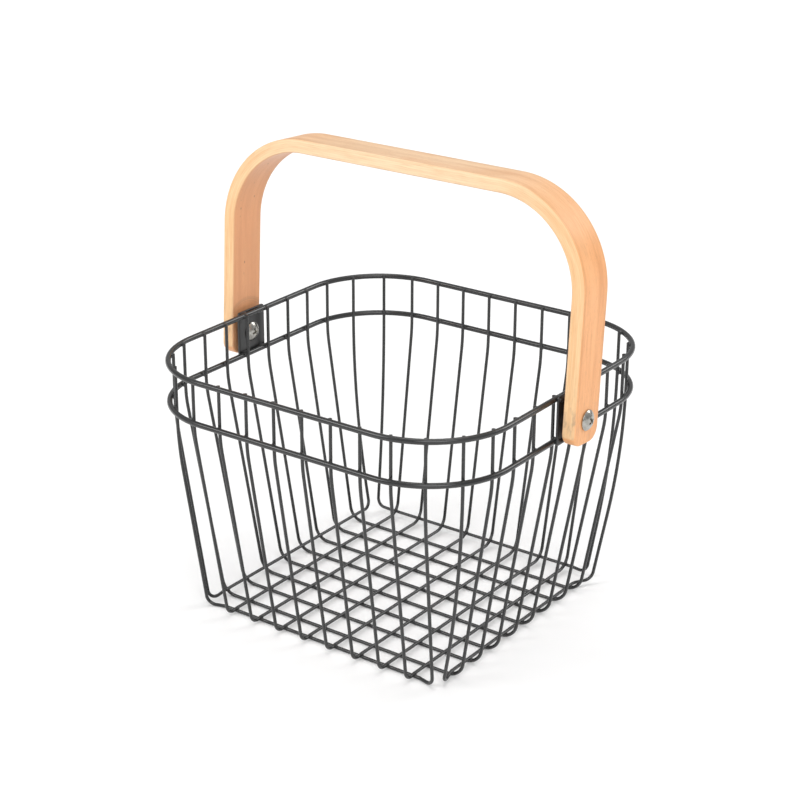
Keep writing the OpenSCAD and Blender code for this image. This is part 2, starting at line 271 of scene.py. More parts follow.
def bent_birch():
    """Laminated birch. The strip attribute holds metres along, across and through the strip."""
    r = Recipe("bent_birch")
    strip = r.add("Attribute", attribute_name="strip").outputs["Vector"]
    parts = r.add("SeparateXYZ", {0: strip})
    along, across, through = (parts.outputs[i] for i in range(3))
    far = r.math("ABSOLUTE", along)
    wide = r.math("ABSOLUTE", across)

    # Growth bands and fibres run along the strip
    bands = r.noise(r.stretch(strip, (9, 160, 90)), 1, 4, 0.6)
    fibres = r.noise(r.stretch(strip, (70, 1900, 1900)), 1, 3, 0.6)
    pores = r.noise(r.stretch(strip, (260, 4200, 4200)), 1, 2, 0.5)
    clouds = r.noise(r.stretch(strip, (24, 60, 60)), 1, 3, 0.55)
    figure = r.math("ADD", r.math("MULTIPLY", bands, 0.6), r.math("MULTIPLY", fibres, 0.4))
    figure = r.ramp(figure, 0.34, 0.66)
    # The grip is painted paler and less saturated than the legs: partly the wood's own tone, partly a painted
    # sheen of the overhead light on the handle's top
    legs = r.mix(figure, rgb(0.74, 0.315, 0.115), rgb(0.93, 0.465, 0.20))
    grip_tone_and_sheen = r.mix(figure, rgb(0.70, 0.43, 0.235), rgb(0.87, 0.61, 0.385))
    wood = r.mix(r.ramp(far, *GRIP_TO_LEG), grip_tone_and_sheen, legs)
    wood = r.mix(r.math("MULTIPLY", r.ramp(clouds, 0.5, 0.68), 0.4), wood, rgb(0.70, 0.35, 0.15))
    wood = r.mix(r.math("MULTIPLY", r.ramp(pores, 0.56, 0.7), 0.4), wood, rgb(0.45, 0.22, 0.10))

    # A fine double line runs along both sides of the outer face, where its veneer was trimmed
    outside = r.ramp(through, *OUTER_FACE)
    trim = r.math("PINGPONG", r.math("SUBTRACT", wide, TRIM_START), TRIM_HALF_STEP)
    trim = r.math("SUBTRACT", 1.0, r.ramp(trim, 0.0, TRIM_LINE))
    band = r.math("SUBTRACT", *(r.ramp(wide, *step) for step in TRIM_BAND))
    trim = r.math("MULTIPLY", r.math("MULTIPLY", trim, band), outside)
    wood = r.mix(r.math("MULTIPLY", trim, 0.5), wood, rgb(0.46, 0.24, 0.11))

    # Edge faces: paler plies with thin glue lines, each ply with fibres of its own
    edge = r.ramp(wide, *EDGE_FACE)
    ply = r.math("ADD", r.math("DIVIDE", through, PLY_THICKNESS), 20.5)
    ply_wave = r.math("ABSOLUTE", r.math("SUBTRACT", r.math("FRACT", ply), 0.5))
    glue = r.math("SUBTRACT", 1.0, r.ramp(ply_wave, 0.0, 0.09))
    layer = r.math("FLOOR", r.math("SUBTRACT", ply, 0.5))
    layer_along, layer_own = r.math("MULTIPLY", along, 22), r.math("MULTIPLY", layer, 7.31)
    layer_place = r.add("CombineXYZ", {0: layer_along, 1: layer_own})
    layer_tone = r.noise(layer_place.outputs[0], 1, 3, 0.6)
    layer_tone = r.ramp(layer_tone, 0.35, 0.7)
    leg_plies = r.mix(layer_tone, rgb(0.94, 0.62, 0.335), rgb(0.86, 0.50, 0.24))
    grip_plies = r.mix(layer_tone, rgb(0.93, 0.70, 0.45), rgb(0.86, 0.59, 0.35))
    plies = r.mix(r.ramp(far, *GRIP_TO_LEG), grip_plies, leg_plies)
    plies = r.mix(r.math("MULTIPLY", r.ramp(fibres, 0.48, 0.7), 0.4), plies, rgb(0.68, 0.38, 0.18))
    plies = r.mix(r.math("MULTIPLY", glue, 0.4), plies, rgb(0.55, 0.29, 0.14))
    wood = r.mix(edge, wood, plies)

    # The inside face is coloured redder and darker, with small dark flecks
    inside = r.math("SUBTRACT", 1.0, r.ramp(through, *INNER_FACE))
    wood = r.mix(r.math("MULTIPLY", inside, 0.55), wood, rgb(0.68, 0.33, 0.18))
    fleck_cells = r.add(
        "TexVoronoi", {"Vector": r.stretch(strip, (150, 400, 0)), "Scale": 1.0, "Randomness": 1.0}
    )
    fleck_pick = r.add("SeparateColor", {0: fleck_cells.outputs["Color"]}).outputs[0]
    fleck = r.math("SUBTRACT", 1.0, r.ramp(fleck_cells.outputs["Distance"], 0.06, 0.2))
    fleck = r.math("MULTIPLY", fleck, r.ramp(fleck_pick, 0.8, 0.86))
    fleck = r.math("MULTIPLY", fleck, r.math("SUBTRACT", 1.0, edge))
    fleck = r.math("MULTIPLY", fleck, r.math("ADD", r.math("MULTIPLY", inside, 0.6), 0.15))
    wood = r.mix(fleck, wood, rgb(0.13, 0.07, 0.04))

    # Faint arcs rubbed into the inside face round each pivot by the bracket's corners
    below = r.math("SUBTRACT", far, PIVOT_ALONG)
    spot = r.add("CombineXYZ", {0: below, 1: across}).outputs[0]
    reach = r.add("VectorMath", {0: spot}, operation="LENGTH").outputs["Value"]
    rings = r.noise(r.add("CombineXYZ", {0: r.math("MULTIPLY", reach, 1400)}).outputs[0], 1, 2)
    rub = r.math("SUBTRACT", *(r.ramp(reach, *step) for step in RUB_RING))
    rub = r.math("MULTIPLY", r.math("MULTIPLY", rub, r.ramp(rings, 0.42, 0.6)), inside)
    wood = r.mix(r.math("MULTIPLY", rub, 0.3), wood, rgb(0.30, 0.17, 0.10))

    # Handling grime near the strip's ends
    end = r.ramp(far, PIVOT_ALONG - GRIME_BEFORE_PIVOT, PIVOT_ALONG + GRIME_PAST_PIVOT)
    grime = r.ramp(r.noise(r.stretch(strip, (90, 260, 260)), 1, 4, 0.65), 0.45, 0.7)
    grime = r.math("MULTIPLY", grime, end)
    grime = r.math("MULTIPLY", grime, r.math("ADD", r.math("MULTIPLY", edge, 0.55), 0.18))
    wood = r.mix(grime, wood, rgb(0.36, 0.24, 0.17))

    rough = r.math("ADD", 0.32, r.math("MULTIPLY", fibres, 0.16))
    height = r.math("ADD", fibres, r.math("MULTIPLY", pores, 0.5))
    height = r.math("SUBTRACT", height, r.math("MULTIPLY", r.math("MULTIPLY", glue, edge), 0.5))
    return r.use(Base_Color=wood, Roughness=rough, Normal=r.bump(height, 0.00012, 0.5))


def zinc(name, roughness, scratches):
    """Zinc-plated steel with rings left by turning, dull patches and fine scratches."""
    r = Recipe(name, Metallic=1.0)
    place = r.place()
    centred = r.add("VectorMath", {0: place, 1: tuple(PIVOT)}, operation="SUBTRACT").outputs[0]
    parts = r.add("SeparateXYZ", {0: centred})
    radius = r.add("CombineXYZ", {1: parts.outputs[1], 2: parts.outputs[2]})
    radius = r.add("VectorMath", {0: radius.outputs[0]}, operation="LENGTH").outputs["Value"]
    rings = r.noise(r.add("CombineXYZ", {0: r.math("MULTIPLY", radius, 5200)}).outputs[0], 1, 2)
    patches = r.noise(place, 420, 4, 0.6)
    lines = r.noise(r.stretch(place, (900, 900, 9000)), 1, 2)
    tone = r.mix(r.ramp(patches, 0.35, 0.7), rgb(0.36, 0.35, 0.32), rgb(0.50, 0.49, 0.46))
    rough = r.math("ADD", r.math("MULTIPLY", patches, 0.22), roughness - 0.11)
    height = r.math("ADD", rings, r.math("MULTIPLY", lines, scratches))
    return r.use(Base_Color=tone, Roughness=rough, Normal=r.bump(height, 0.00003, 0.15))


def floor_paint():
    r = Recipe("floor", Roughness=0.75, Specular_IOR_Level=0.2)
    mottle = r.noise(r.place(), 3, 2)
    return r.use(Base_Color=r.mix(mottle, rgb(0.9, 0.9, 0.9), rgb(0.92, 0.92, 0.92)))


# ---- Mesh helpers ----


def add_piece(name, points, faces, material, body, replaces=()):
    """One smooth-shaded mesh piece that rides on a CAD body."""
    mesh = bpy.data.meshes.new(name)
    mesh.from_pydata([tuple(p) for p in points], [], faces)
    mesh.validate()
    mesh.polygons.foreach_set("use_smooth", [True] * len(mesh.polygons))
    mesh.materials.append(material)
    piece = bpy.data.objects.new(name, mesh)
    bpy.context.scene.collection.objects.link(piece)
    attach(piece, body)
    if replaces:
        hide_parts(*replaces)
    return piece


def unit(v):
    return v / np.linalg.norm(v)


def arc_offset(start, end, sweep, t):
    """Offset from an arc's centre at share t of the way from start to end."""
    return (math.sin((1 - t) * sweep) * start + math.sin(t * sweep) * end) / math.sin(sweep)


# ---- Centrelines of the wires, to find where they are welded ----

rim_low, rim_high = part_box("top_rim")
RIM_R = (rim_high.z - rim_low.z) / 2
RIM_HALF = {"x": rim_high.x - RIM_R, "y": rim_high.y - RIM_R}
TOP_Z = (rim_low.z + rim_high.z) / 2
LOW_Z = TOP_Z - RIM_DROP
INSET = RIM_R + WIRE_R - WELD_BITE
STACK_STEP = 2 * WIRE_R - WELD_BITE
WIRE_TOP_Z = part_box("left_right_wire_5")[1].z
OTHER = {"x": "y", "y": "x"}
LINE_STEP = 0.4 * MM
FOOT_RADII = {"x": (FOOT_R, RIGHT_FOOT_R), "y": (FOOT_R, FOOT_R)}


def line_at(k, axis):
    """Place of wire k of ten across the base, along axis."""
    step = PITCH[axis] * (k - (WIRES + 1) / 2)
    if k == 1:
        return PITCH[axis] * (2 - (WIRES + 1) / 2) - GAPS[axis][0]
    if k == WIRES:
        return PITCH[axis] * (WIRES - 1 - (WIRES + 1) / 2) + GAPS[axis][1]
    return step


def end_point(k, along, out, shift):
    """Where wire k ends on a rim side: its place along the side, and outwards."""
    radius = RIM_CORNER_R - INSET
    half_along, half_out = RIM_HALF[along] - INSET, RIM_HALF[out] - INSET
    side = -1 if k <= WIRES / 2 else 1
    if k in (1, WIRES):
        angle = math.pi / 4 - CORNER_PAIR_ANGLE
        return (
            side * (half_along - radius + radius * math.cos(angle)),
            half_out - radius + radius * math.sin(angle),
        )
    s = (k - (WIRES + 1) / 2) * RIM_PITCH + shift
    turned = (abs(s) - (half_along - radius)) / radius
    if turned <= 0:
        return s, half_out
    return (
        side * (half_along - radius + radius * math.sin(turned)),
        half_out - radius * (1 - math.cos(turned)),
    )


def wire_route(kind, k):
    """Corner points and bend radii of one wire. kind is the axis that it runs along."""
    across = OTHER[kind]
    line = line_at(k, across)
    outer = k in (1, WIRES)
    side = -1 if k <= WIRES / 2 else 1
    z = WIRE_R if kind == "x" else WIRE_R + STACK_STEP
    if outer and (kind, k) != ("x", 1):
        # An outermost wire rides up on the foot bends of the wires that cross it
        high_side = k == WIRES
        bend = FOOT_RADII[across][high_side]
        nest = bend + STACK_STEP if kind == "x" else bend - STACK_STEP
        past = side * line - (FEET[across][high_side] - bend * math.tan(WALL_ANGLE / 2))
        z += nest * (1 - math.cos(math.asin(max(past, 0) / nest)))
    halves = []
    for end in (0, 1):
        i = end if k == 1 else 2 + end
        tip = end_point(k, across, kind, END_SHIFT[kind][end])
        lean = CORNER_LEAN[kind][i] * MM if outer else LEAN_DROP
        points = [(tip[0], tip[1], WIRE_TOP_Z), (tip[0], tip[1], LOW_Z - lean)]
        if outer:
            foot = CORNER_FOOT[kind][i] * MM
            splay = side * CORNER_SPLAY[kind][i] * MM
            foot_z = DROOP_Z if kind == "y" and end == 0 else z
            points += [(line + splay, foot, foot_z), (line, foot - SPLAY_LENGTH, z)]
            radii = [CORNER_FOOT_R, SPLAY_BEND_R]
        elif kind == "y" and end == 0:
            points += [(line, FEET["y"][0], FRONT_DIP_Z), (line, DIP_START - line_at(1, "y"), z)]
            radii = [FRONT_FOOT_R, DIP_BEND_R]
        else:
            points += [(line, FEET[kind][end], z)]
            radii = [FOOT_RADII[kind][end]]
        top, knee, foot = (np.array(p) for p in points[:3])
        angle = math.acos(unit(knee - top) @ unit(foot - knee))
        halves.append((points, [0, (lean - RIM_R) / math.tan(angle / 2), *radii]))
    (low, low_radii), (high, high_radii) = halves
    route = [(p[0], -p[1], p[2]) for p in low] + high[::-1]
    radii = low_radii + high_radii[::-1]
    if kind == "x":
        route = [(p[1], p[0], p[2]) for p in route]
    return np.array(route), radii


def centreline(route, radii, step=LINE_STEP):
    """Closely spaced points along a route with its corners rounded."""
    points = [route[0]]
    for before, corner, after, radius in zip(route, route[1:], route[2:], radii[1:]):
        a, b = unit(before - corner), unit(after - corner)
        half = math.acos(np.clip(a @ b, -1, 1)) / 2
        trim = radius / math.tan(half)
        centre = corner + unit(a + b) * radius / math.sin(half)
        start, end = corner + a * trim - centre, corner + b * trim - centre
        sweep = math.pi - 2 * half
        for t in np.linspace(0, 1, max(3, int(radius * sweep / step))):
            points.append(centre + arc_offset(start, end, sweep, t))
    points.append(route[-1])
    dense = [points[0]]
    for p, q in zip(points, points[1:]):
        n = max(1, int(np.linalg.norm(q - p) / step))
        dense += [p + (q - p) * i / n for i in range(1, n + 1)]
    return np.array(dense)


def rim_line(z, step=LINE_STEP):
    """Closely spaced points round one rim."""
    cx, cy = RIM_HALF["x"] - RIM_CORNER_R, RIM_HALF["y"] - RIM_CORNER_R
    corners = [(cx, cy, 0), (-cx, cy, 90), (-cx, -cy, 180), (cx, -cy, 270)]
    points = []
    for x, y, first in corners:
        for a in np.radians(np.linspace(first, first + 90, 200)):
            points.append((x + RIM_CORNER_R * math.cos(a), y + RIM_CORNER_R * math.sin(a), z))
    points.append(points[0])
    dense = []
    for p, q in zip(np.array(points), np.array(points[1:])):
        n = max(1, int(np.linalg.norm(q - p) / step))
        dense += [p + (q - p) * i / n for i in range(n)]
    return np.array(dense)


def tangent(line, i):
    return unit(line[min(i + 1, len(line) - 1)] - line[max(i - 1, 0)])


# ---- Weld fillets ----

# These four are in mm: the range of a fillet's blend, and how far its search goes
WELD_BLEND = (1.0, 1.7)
RIM_WELD_REACH = 3.0
TOP_RIM_WELD_REACH_Z = 1.45
PLATE_WELD_REACH = (3.0, 4.2, 2.3)
BASE_WELD_REACH = 2.4 * MM
TOUCHING = 0.05 * MM
RIM_LEVEL = 0.3 * MM
PLATE_WELD_INSET = 4.5 * MM
PLATE_WELD_BLEND = 2.2 * MM


def ball(levels):
    """Directions and triangles of an icosphere."""
    bm = bmesh.new()
    bmesh.ops.create_icosphere(bm, subdivisions=levels, radius=1)
    directions = np.array([v.co for v in bm.verts])
    faces = [tuple(v.index for v in f.verts) for f in bm.faces]
    bm.free()
    return directions, faces


def smooth_min(a, b, blend):
    """Smooth minimum of two distances, which rounds the valley between two surfaces."""
    h = np.maximum(blend - np.abs(a - b), 0) / blend
    return np.minimum(a, b) - h * h * blend / 4


def fillet(centre, distance_a, distance_b, blend, reach, directions):
    """A blob around a joint that shows only as a fillet: it runs just under both surfaces."""
    UNDER = 0.03 * MM
    SAMPLES = 60
    share = np.linspace(0, 1, SAMPLES)[None, :, None]
    rays = directions * reach
    points = centre + rays[:, None, :] * share
    f = smooth_min(distance_a(points), distance_b(points), blend) + UNDER
    outside = f > 0
    first = np.where(outside.any(1), outside.argmax(1), SAMPLES - 1)
    rows = np.arange(len(first))
    before = np.maximum(first - 1, 0)
    f0, f1 = f[rows, before], f[rows, first]
    t = np.clip(np.where(outside.any(1), -f0 / np.maximum(f1 - f0, 1e-9), 1.0), 0, 1)
    return centre + rays * ((before + t * (first - before)) / (SAMPLES - 1))[:, None]


def rod_distance(point, direction, radius):
    def distance(p):
        offset = p - point
        along = offset @ direction
        return np.linalg.norm(offset - along[..., None] * direction, axis=-1) - radius

    return distance


def weld(points, faces, centre, a, b, blend, reach, directions, triangles):
    start = len(points)
    points.extend(fillet(centre, a, b, blend, reach, directions))
    faces.extend(tuple(start + i for i in t) for t in triangles)


def closest(a, b):
    """Indices of the closest points of two lines, and their distance."""
    tree = KDTree(len(b))
    for i, p in enumerate(b):
        tree.insert(p, i)
    tree.balance()
    best = (None, None, 1e9)
    for i, p in enumerate(a):
        _, j, d = tree.find(p)
        if d < best[2]:
            best = (i, j, d)
    return best


def add_welds(coat):
    """Fillets of weld and thick paint wherever two rods touch."""
    directions, triangles = ball(3)
    chance = np.random.default_rng(7)
    lines = {
        kind: [centreline(*wire_route(kind, k)) for k in range(1, WIRES + 1)] for kind in "xy"
    }

    points, faces = [], []
    for low in lines["x"]:
        for high in lines["y"]:
            i, j, gap = closest(low, high)
            if gap > 2 * WIRE_R + TOUCHING:
                continue
            weld(
                points,
                faces,
                (low[i] + high[j]) / 2,
                rod_distance(low[i], tangent(low, i), WIRE_R),
                rod_distance(high[j], tangent(high, j), WIRE_R),
                chance.uniform(*WELD_BLEND) * MM,
                BASE_WELD_REACH,
                directions,
                triangles,
            )
    add_piece("base_welds", points, faces, coat, "basket")

    for name, z in (("top_rim_welds", TOP_Z), ("lower_rim_welds", LOW_Z)):
        ring = rim_line(z)
        reach_z = TOP_RIM_WELD_REACH_Z if z == TOP_Z else RIM_WELD_REACH
        points, faces = [], []
        for line in lines["x"] + lines["y"]:
            half = len(line) // 2
            for part in (line[:half], line[half:]):
                near = part[np.abs(part[:, 2] - z) < RIM_LEVEL]
                p = near[len(near) // 2]
                j = int(np.linalg.norm(ring[:, :2] - p[:2], axis=1).argmin())
                q = ring[j]
                p = np.array([p[0], p[1], z])
                centre = p + (q - p) * WIRE_R / (WIRE_R + RIM_R)
                weld(
                    points,
                    faces,
                    centre,
                    rod_distance(p, np.array([0.0, 0.0, 1.0]), WIRE_R),
                    rod_distance(q, tangent(ring, j), RIM_R),
                    chance.uniform(*WELD_BLEND) * MM,
                    np.array([RIM_WELD_REACH, RIM_WELD_REACH, reach_z]) * MM,
                    directions,
                    triangles,
                )
        add_piece(name, points, faces, coat, "basket")


def add_bracket_welds(coat):
    """Two stitch welds between each bracket and each rim, above and below the rod."""
    directions, triangles = ball(4)
    for side in ("left", "right"):
        lo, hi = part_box(f"{side}_bracket")
        sign = 1 if side == "right" else -1
        face_x = min(abs(lo.x), abs(hi.x))
        points, faces = [], []
        for z in (TOP_Z, LOW_Z):
            for y in (lo.y + PLATE_WELD_INSET, hi.y - PLATE_WELD_INSET):
                rod = rod_distance(
                    np.array([sign * RIM_HALF["x"], y, z]), np.array([0.0, 1.0, 0.0]), RIM_R
                )
                weld(
                    points,
                    faces,
                    np.array([sign * face_x, y, z]),
                    rod,
                    lambda p: face_x - sign * p[..., 0],
                    PLATE_WELD_BLEND,
                    np.array(PLATE_WELD_REACH) * MM,
                    directions,
                    triangles,
                )
        add_piece(f"{side}_bracket_welds", points, faces, coat, "basket")


# ---- Turned parts, plates and fasteners ----

HEAD_LIP = 1.2 * MM
RECESS_DEPTH = 1.5 * MM
RECESS_MOUTH = (7.6 * MM, 1.75 * MM)  # length and width of one wing
RECESS_FLOOR = (3.4 * MM, 0.95 * MM)
SCREW_TURN, NUT_TURN = 0.55, 0.26  # radians, how the recesses happen to stand
PLATE_EDGE = 0.35 * MM


def lathe(profile, steps=72):
    """Points and faces of a closed or axis-to-axis profile of (along, radius) turned about +X."""
    points, faces, rows = [], [], []
    for x, r in profile:
        count = 1 if r == 0 else steps
        rows.append([len(points) + i for i in range(count)])
        for i in range(count):
            a = 2 * math.pi * i / steps
            points.append((x, r * math.cos(a), r * math.sin(a)))
    for low, high in zip(rows, rows[1:]):
        for i in range(steps):
            j = (i + 1) % steps
            corners = [
                low[i % len(low)], high[i % len(high)], high[j % len(high)], low[j % len(low)]
            ]
            kept = [c for n, c in enumerate(corners) if c != corners[n - 1]]
            faces.append(tuple(kept))
    return points, faces


def rounded(profile, radius, steps=3):
    """The inner corners of a (along, radius) profile, each cut by a small arc."""
    out = [profile[0]]
    for before, corner, after in zip(profile, profile[1:], profile[2:]):
        p, c, q = (np.array(v, float) for v in (before, corner, after))
        a, b = unit(p - c), unit(q - c)
        half = math.acos(np.clip(a @ b, -1, 1)) / 2
        longest = 0.45 * min(np.linalg.norm(p - c), np.linalg.norm(q - c))
        cut = min(radius / math.tan(half), longest)
        r = cut * math.tan(half)
        middle = c + unit(a + b) * r / math.sin(half)
        start, end = c + a * cut - middle, c + b * cut - middle
        sweep = math.pi - 2 * half
        for t in np.linspace(0, 1, steps + 1):
            out.append(tuple(middle + arc_offset(start, end, sweep, t)))
    return out + [profile[-1]]


def cut_away(piece, cutter_points, cutter_faces):
    """Takes a closed shape away from a piece's mesh."""
    mesh = bpy.data.meshes.new("cutter")
    mesh.from_pydata([tuple(p) for p in cutter_points], [], cutter_faces)
    cutter = bpy.data.objects.new("cutter", mesh)
    bpy.context.scene.collection.objects.link(cutter)
    modifier = piece.modifiers.new("cut", "BOOLEAN")
    modifier.object = cutter
    modifier.operation = "DIFFERENCE"
    modifier.solver = "EXACT"
    modifier.use_self = True
    bpy.context.view_layer.update()
    evaluated = piece.evaluated_get(bpy.context.evaluated_depsgraph_get())
    result = bpy.data.meshes.new_from_object(evaluated)
    piece.modifiers.remove(modifier)
    old, piece.data = piece.data, result
    bpy.data.objects.remove(cutter)
    bpy.data.meshes.remove(mesh)
    bpy.data.meshes.remove(old)
    result.polygons.foreach_set("use_smooth", [True] * len(result.polygons))
    result.set_sharp_from_angle(angle=math.radians(32))


def blade(turn, top, depth):
    """One wing of a cross recess, narrower at its bottom, on an axis along +X."""
    points = []
    for x, (length, width) in ((top + 1 * MM, RECESS_MOUTH), (top - depth, RECESS_FLOOR)):
        for a, b in ((-1, -1), (1, -1), (1, 1), (-1, 1)):
            y, z = a * length / 2, b * width / 2
            turned_y = y * math.cos(turn) - z * math.sin(turn)
            turned_z = y * math.sin(turn) + z * math.cos(turn)
            points.append((x, turned_y, turned_z))
    faces = [(0, 1, 2, 3), (7, 6, 5, 4), (0, 4, 5, 1), (1, 5, 6, 2), (2, 6, 7, 3), (3, 7, 4, 0)]
    return points, faces


def head_profile():
    """(along, radius) from the seat's edge over the dome to its middle."""
    rise = HEAD_H - HEAD_EDGE
    dome_r = (HEAD_R**2 + rise**2) / (2 * rise)
    over = math.asin(HEAD_R / dome_r)
    dome = [
        (HEAD_H - dome_r * (1 - math.cos(over * t)), dome_r * math.sin(over * t))
        for t in np.linspace(1, 0, 15)
    ]
    rim = rounded([(0, HEAD_R - HEAD_LIP), (0, HEAD_R), dome[0], dome[2]], 0.28 * MM)
    return rim[:-1] + dome[2:-1] + [(HEAD_H, 0)]


def add_fastener(name, node, side, seat_x, outward, tail, turn, metal):
    """A domed head with a cross recess, and the tail of the fastener behind it."""
    points, faces = lathe(tail + head_profile())
    recess_points, recess_faces = [], []
    for quarter in (0, math.pi / 2):
        p, f = blade(turn + quarter, HEAD_H, RECESS_DEPTH)
        recess_faces += [tuple(i + len(recess_points) for i in face) for face in f]
        recess_points += p

    def placed(p):
        return (side * (seat_x + outward * p[0]), PIVOT.y + p[1], PIVOT.z + p[2])

    inside_out = side * outward < 0
    faces = [f[::-1] for f in faces] if inside_out else faces
    recess_faces = [f[::-1] for f in recess_faces] if inside_out else recess_faces
    piece = add_piece(name, map(placed, points), faces, metal, "basket", [node])
    cut_away(piece, list(map(placed, recess_points)), recess_faces)


def add_fasteners(metal):
    """Screw outside the leg, and the tubular nut that it runs into, on each side."""
    for sign, name in ((-1, "left"), (1, "right")):
        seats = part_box(f"{name}_bracket")
        plate_x = min(abs(seats[0].x), abs(seats[1].x))
        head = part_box(f"{name}_pivot_screw")
        head_x = max(abs(head[0].x), abs(head[1].x)) - HEAD_H
        length = head_x - plate_x
        shank = length - BARREL_WEB - TIP_GAP
        screw_tail = rounded(
            [(-shank, 0), (-shank, SHANK_R), (0, SHANK_R), (0, HEAD_R - HEAD_LIP)], 0.25 * MM
        )[:-1]
        add_fastener(
            f"{name}_screw", f"{name}_pivot_screw", sign, head_x, 1, screw_tail, SCREW_TURN, metal
        )
        bore_r = SHANK_R + HOLE_GAP
        nut_tail = rounded(
            [
                (-BARREL_WEB, 0),
                (-BARREL_WEB, bore_r),
                (-length, bore_r),
                (-length, BARREL_R),
                (0, BARREL_R),
                (0, HEAD_R - HEAD_LIP),
            ],
            0.2 * MM,
        )[:-1]
        nut, barrel = f"{name}_barrel_nut", f"{name}_pivot_barrel"
        add_fastener(nut, barrel, sign, plate_x, -1, nut_tail, NUT_TURN, metal)


def add_washers(metal):
    """Spacer washers with rolled edges."""
    for name in ("left_spacer_washer", "right_spacer_washer"):
        lo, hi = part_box(name)
        outer = (hi.z - lo.z) / 2
        inner = BARREL_R + HOLE_GAP
        section = [(lo.x, inner), (lo.x, outer), (hi.x, outer), (hi.x, inner)]
        loop = rounded(section[-1:] + section + section[:1], 0.35 * MM, 4)[1:-1]
        points, faces = lathe([*loop, loop[0]][::-1])
        points = [(x, PIVOT.y + y, PIVOT.z + z) for x, y, z in points]
        ring_name = name.replace("washer", "ring")
        add_piece(ring_name, points, faces, metal, "basket", [name])


def rounded_rectangle(half_w, half_h, radius, steps=8):
    loop = []
    for sx, sy, first in ((1, 1, 0), (-1, 1, 90), (-1, -1, 180), (1, -1, 270)):
        for a in np.radians(np.linspace(first, first + 90, steps + 1)):
            across = sx * (half_w - radius) + radius * math.cos(a)
            up = sy * (half_h - radius) + radius * math.sin(a)
            loop.append((across, up))
    return loop


def add_brackets(coat):
    """Stamped plates with softened edges and a hole for the barrel nut."""
    for name in ("left_bracket", "right_bracket"):
        lo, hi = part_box(name)
        half_w, half_h = (hi.y - lo.y) / 2, (hi.z - lo.z) / 2
        edge = PLATE_EDGE
        profile = [(3 * edge, lo.x), (edge, lo.x)]
        profile += [(0.3 * edge, lo.x + 0.3 * edge), (0.0, lo.x + edge)]
        profile += [(inset, lo.x + hi.x - x) for inset, x in profile[::-1]]
        points, faces = [], []
        loops = []
        for inset, x in profile:
            outer = rounded_rectangle(half_w - inset, half_h - inset, PLATE_CORNER_R - inset)
            hole_r = BARREL_R + HOLE_GAP + inset
            turns = np.linspace(0, 2 * math.pi, 49)[:-1]
            hole = [(hole_r * math.cos(a), hole_r * math.sin(a)) for a in turns]
            row = []
            for ring in (outer, hole):
                row.append(range(len(points), len(points) + len(ring)))
                points += [(x, PIVOT.y + y, PIVOT.z + z) for y, z in ring]
            loops.append(row)
        for low, high in zip(loops, loops[1:]):
            for which, order in ((0, 1), (1, -1)):
                a, b = low[which], high[which]
                for i in range(len(a)):
                    j = (i + 1) % len(a)
                    faces.append((a[i], a[j], b[j], b[i])[::order])
        for row, order in ((loops[0], -1), (loops[-1], 1)):
            index = [*row[0], *row[1]]
            rings = [[Vector(points[i]) for i in ring] for ring in row]
            for triangle in tessellate_polygon(rings):
                tri = [index[i] for i in triangle]
                a, b, c = (Vector(points[i]) for i in tri)
                right_way = ((b - a).cross(c - a)).x * order > 0
                faces.append(tuple(tri if right_way else tri[::-1]))
        add_piece(f"{name}_plate", points, faces, coat, "basket", [name])


# ---- Handle ----

LEG_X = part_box("handle")[1].x - STRIP_T / 2
TOP_RISE = GRIP_RISE + STRIP_T / 2
BEND_X = LEG_X - STRIP_BEND_R
BEND_RISE = TOP_RISE - STRIP_BEND_R
ARC = STRIP_BEND_R * math.pi / 2
PIVOT_ALONG = BEND_X + ARC + BEND_RISE
STRIP_HALF = PIVOT_ALONG + STRIP_TAIL


def strip_station(s):
    """Place and outward normal of the strip's mid line at s from its middle, as (x, rise)."""
    side = -1 if s < 0 else 1
    s = abs(s)
    if s <= BEND_X:
        return (side * s, TOP_RISE), (0, 1)
    if s <= BEND_X + ARC:
        a = math.pi / 2 - (s - BEND_X) / STRIP_BEND_R
        normal = (side * math.cos(a), math.sin(a))
        x = side * BEND_X + STRIP_BEND_R * normal[0]
        return (x, BEND_RISE + STRIP_BEND_R * normal[1]), normal
    return (side * LEG_X, BEND_RISE - (s - BEND_X - ARC)), (side, 0)


def strip_place(x, y, rise):
    """(along, across, through) of a point of the strip, the handle upright about its pivot."""
    side = -1 if x < 0 else 1
    if rise <= BEND_RISE:
        return side * (BEND_X + ARC + BEND_RISE - rise), y, abs(x) - LEG_X
    if abs(x) <= BEND_X:
        return x, y, rise - TOP_RISE
    out, up = abs(x) - BEND_X, rise - BEND_RISE
    along = BEND_X + STRIP_BEND_R * math.atan2(out, up)
    return side * along, y, math.hypot(out, up) - STRIP_BEND_R


